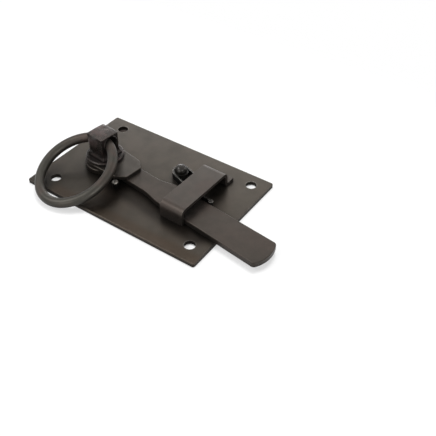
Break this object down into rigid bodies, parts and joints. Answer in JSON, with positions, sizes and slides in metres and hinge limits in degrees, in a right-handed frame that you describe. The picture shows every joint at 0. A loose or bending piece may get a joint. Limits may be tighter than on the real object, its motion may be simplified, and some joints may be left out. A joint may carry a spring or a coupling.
{
  "type": "cottage latch",
  "caption": "Ring-handled door latch: a pivoting flat bar on a back plate, held under a strap keeper and returned by a hairpin spring.",
  "frame": {"origin": "middle of the back plate's back face, which lies against the door", "axes": "+X along the plate towards the nose of the bar, +Y up the door, +Z out of the door"},
  "size_m": [0.1899, 0.1126, 0.032],
  "materials": {
    "plate_steel": "dark waxed sheet steel, satin",
    "forged_steel": "dark waxed forged steel, satin with worn edges",
    "ring_steel": "dark waxed round bar, handled smooth",
    "spring_steel": "blackened spring strip",
    "stud_steel": "black glossy turned steel"
  },
  "bodies": {
    "plate": {"back_plate": "plate_steel", "keeper_bridge": "plate_steel", "keeper_rivet": "stud_steel", "spacer_washer": "stud_steel", "bar_spring": "spring_steel", "spring_stud": "stud_steel", "stop_pin": "stud_steel"},
    "bar": {"latch_bar": "forged_steel", "driver_plate": "forged_steel", "handle_boss": "forged_steel", "retaining_washer": "stud_steel"},
    "ring": {"ring_handle": "ring_steel"}
  },
  "joints": [
    {"name": "bar_lift", "type": "hinge", "parent": "plate", "child": "bar", "pos_m": [-0.0413, -0.0022, 0.005], "axis": [0, 0, 1], "range_deg": [0, 7.8], "stiffness_Nm_per_rad": 1, "springref_deg": -5.73, "deforming": ["bar_spring"]},
    {"name": "ring_swing", "type": "hinge", "parent": "bar", "child": "ring", "pos_m": [-0.04132, -0.0025, 0.0247], "axis": [-0.9973, 0.0732, 0], "range_deg": [0, 217]}
  ]
}
